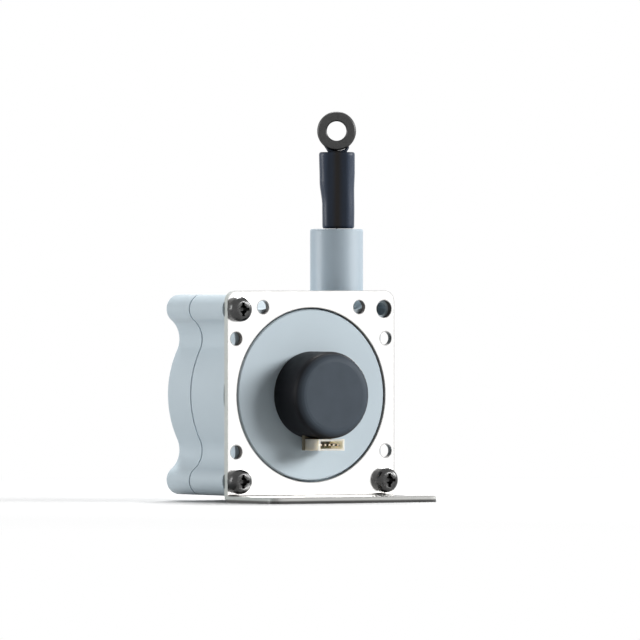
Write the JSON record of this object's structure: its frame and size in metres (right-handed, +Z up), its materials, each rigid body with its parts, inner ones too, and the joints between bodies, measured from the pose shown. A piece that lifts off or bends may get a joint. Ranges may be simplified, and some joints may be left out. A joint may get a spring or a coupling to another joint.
{
  "type": "draw wire encoder",
  "caption": "Draw wire displacement sensor: a sprung drum in a lobed housing winds a measuring wire with an eyelet, read by a round encoder on an angle bracket.",
  "frame": {"origin": "midway between the two holes of the bracket's foot, on its underside", "axes": "+Z up, the way the wire is pulled out; -Y forward, the way the encoder faces; +X towards the wire outlet"},
  "size_m": [0.0512, 0.0518, 0.0997],
  "materials": {
    "housing_plastic": "satin moulded, blue-grey",
    "stainless_sheet": "bright rolled stainless sheet",
    "screw_steel": "bright plated",
    "set_screw_steel": "black oxide",
    "encoder_black": "fine matte moulded",
    "sleeve_black": "shrunk sleeve, satin",
    "eyelet_steel": "dark tumbled",
    "wire_steel": "stranded wire, clear nylon coat",
    "shaft_steel": "ground",
    "spring_steel": "blued strip",
    "brass": "turned",
    "bronze": "sintered, oiled",
    "ceramic": "polished ceramic",
    "connector_cream": "moulded nylon",
    "board_green": "solder mask",
    "reader_black": "moulded",
    "disc_steel": "etched sheet",
    "drum_plastic": "moulded acetal"
  },
  "bodies": {
    "housing": {"mounting_bracket": "stainless_sheet", "bracket_screws": "screw_steel", "front_housing": "housing_plastic", "rear_cover": "housing_plastic", "cover_screws": "screw_steel", "divider_plate": "drum_plastic", "cable_guide": "housing_plastic", "guide_bushing": "ceramic", "encoder_base": "encoder_black", "encoder_cap": "encoder_black", "encoder_board": "board_green", "optical_reader": "reader_black", "encoder_connector": "connector_cream", "connector_pins": "brass", "shaft_bush": "bronze", "lock_washer": "screw_steel", "mounting_nut": "screw_steel", "rear_bush": "bronze", "power_spring": "spring_steel"},
    "drum": {"drum": "drum_plastic", "wire_winding": "wire_steel", "wire_anchor": "brass", "encoder_shaft": "shaft_steel", "code_disc": "disc_steel", "disc_hub": "brass", "hub_set_screws": "set_screw_steel", "spring_arbor": "shaft_steel"},
    "wire_end": {"measuring_wire": "wire_steel", "crimp_sleeve": "brass", "end_sleeve": "sleeve_black", "eyelet": "eyelet_steel", "wire_loop": "wire_steel"}
  },
  "joints": [
    {"name": "drum_spin", "type": "hinge", "parent": "housing", "child": "drum", "pos_m": [0, 0.02278, 0.0272], "axis": [0, -1, 0], "range_deg": [0, 4006], "stiffness_Nm_per_rad": 0.00023, "springref_deg": -6818.2, "deforming": ["power_spring"]},
    {"name": "wire_pull", "type": "slide", "parent": "housing", "child": "wire_end", "axis": [0, 0, 1], "range_m": [0, 1]}
  ],
  "couplings": [
    {"joint": "wire_pull", "follows": "drum_spin", "m_per_rad": 0.0143}
  ]
}
